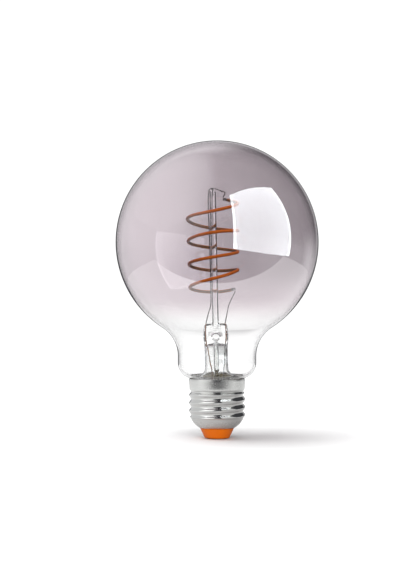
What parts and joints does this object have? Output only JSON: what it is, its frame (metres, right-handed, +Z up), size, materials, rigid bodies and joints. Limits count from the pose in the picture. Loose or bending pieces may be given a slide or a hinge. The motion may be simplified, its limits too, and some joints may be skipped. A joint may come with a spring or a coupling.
{
  "type": "smart light bulb",
  "caption": "Globe light bulb in smoked glass with a spiral LED filament on a glass mount, a screw cap, and a driver with a radio inside the cap.",
  "frame": {"origin": "middle of the end contact's flat face, which is what the bulb stands on", "axes": "+Z up the bulb's axis, from the end contact to the crown of the globe; the pictured front faces -Y, with +X to its right"},
  "size_m": [0.095, 0.095, 0.139],
  "materials": {
    "smoked_glass": "clear blown glass with a graphite smoke film, densest at the crown and fading to clear at the neck",
    "clear_glass": "clear lead-free stem glass",
    "nickel_plate": "bright nickel plate on rolled brass sheet",
    "contact_metal": "worn solder-dipped brass",
    "lead_nickel": "drawn nickel-iron wire, slightly oxidised",
    "copper": "copper-clad and copper wire",
    "phosphor": "orange phosphor silicone, unlit",
    "flex_circuit": "polyimide strip with copper tracks",
    "orange_plastic": "moulded orange plastic",
    "cement": "cured olive basing cement",
    "circuit_board": "green solder mask",
    "black_moulding": "black moulded package",
    "can_aluminium": "plain aluminium can",
    "ferrite": "dark ferrite drum",
    "resistor_coat": "blue lacquer"
  },
  "bodies": {
    "root": {"glass_globe": "smoked_glass", "screw_shell": "nickel_plate", "cap_insulator": "orange_plastic", "end_contact": "contact_metal", "basing_cement": "cement", "stem_flare": "clear_glass", "stem_press": "clear_glass", "exhaust_tube": "clear_glass", "support_rod": "clear_glass", "rod_top_anchor": "lead_nickel", "inner_lead_left": "lead_nickel", "inner_lead_right": "lead_nickel", "seal_wire_left": "copper", "seal_wire_right": "copper", "outer_lead_left": "copper", "outer_lead_right": "copper", "filament_phosphor": "phosphor", "filament_carrier": "flex_circuit", "filament_crimp_top": "lead_nickel", "filament_crimp_bottom": "lead_nickel", "filament_hook_upper": "lead_nickel", "filament_hook_middle": "lead_nickel", "filament_hook_lower": "lead_nickel", "driver_board": "circuit_board", "bulk_capacitor": "can_aluminium", "filter_inductor": "ferrite", "bridge_rectifier": "black_moulding", "driver_chip": "black_moulding", "radio_module": "can_aluminium", "fusible_resistor": "resistor_coat", "centre_contact_wire": "copper", "shell_contact_wire": "copper"}
  },
  "joints": []
}
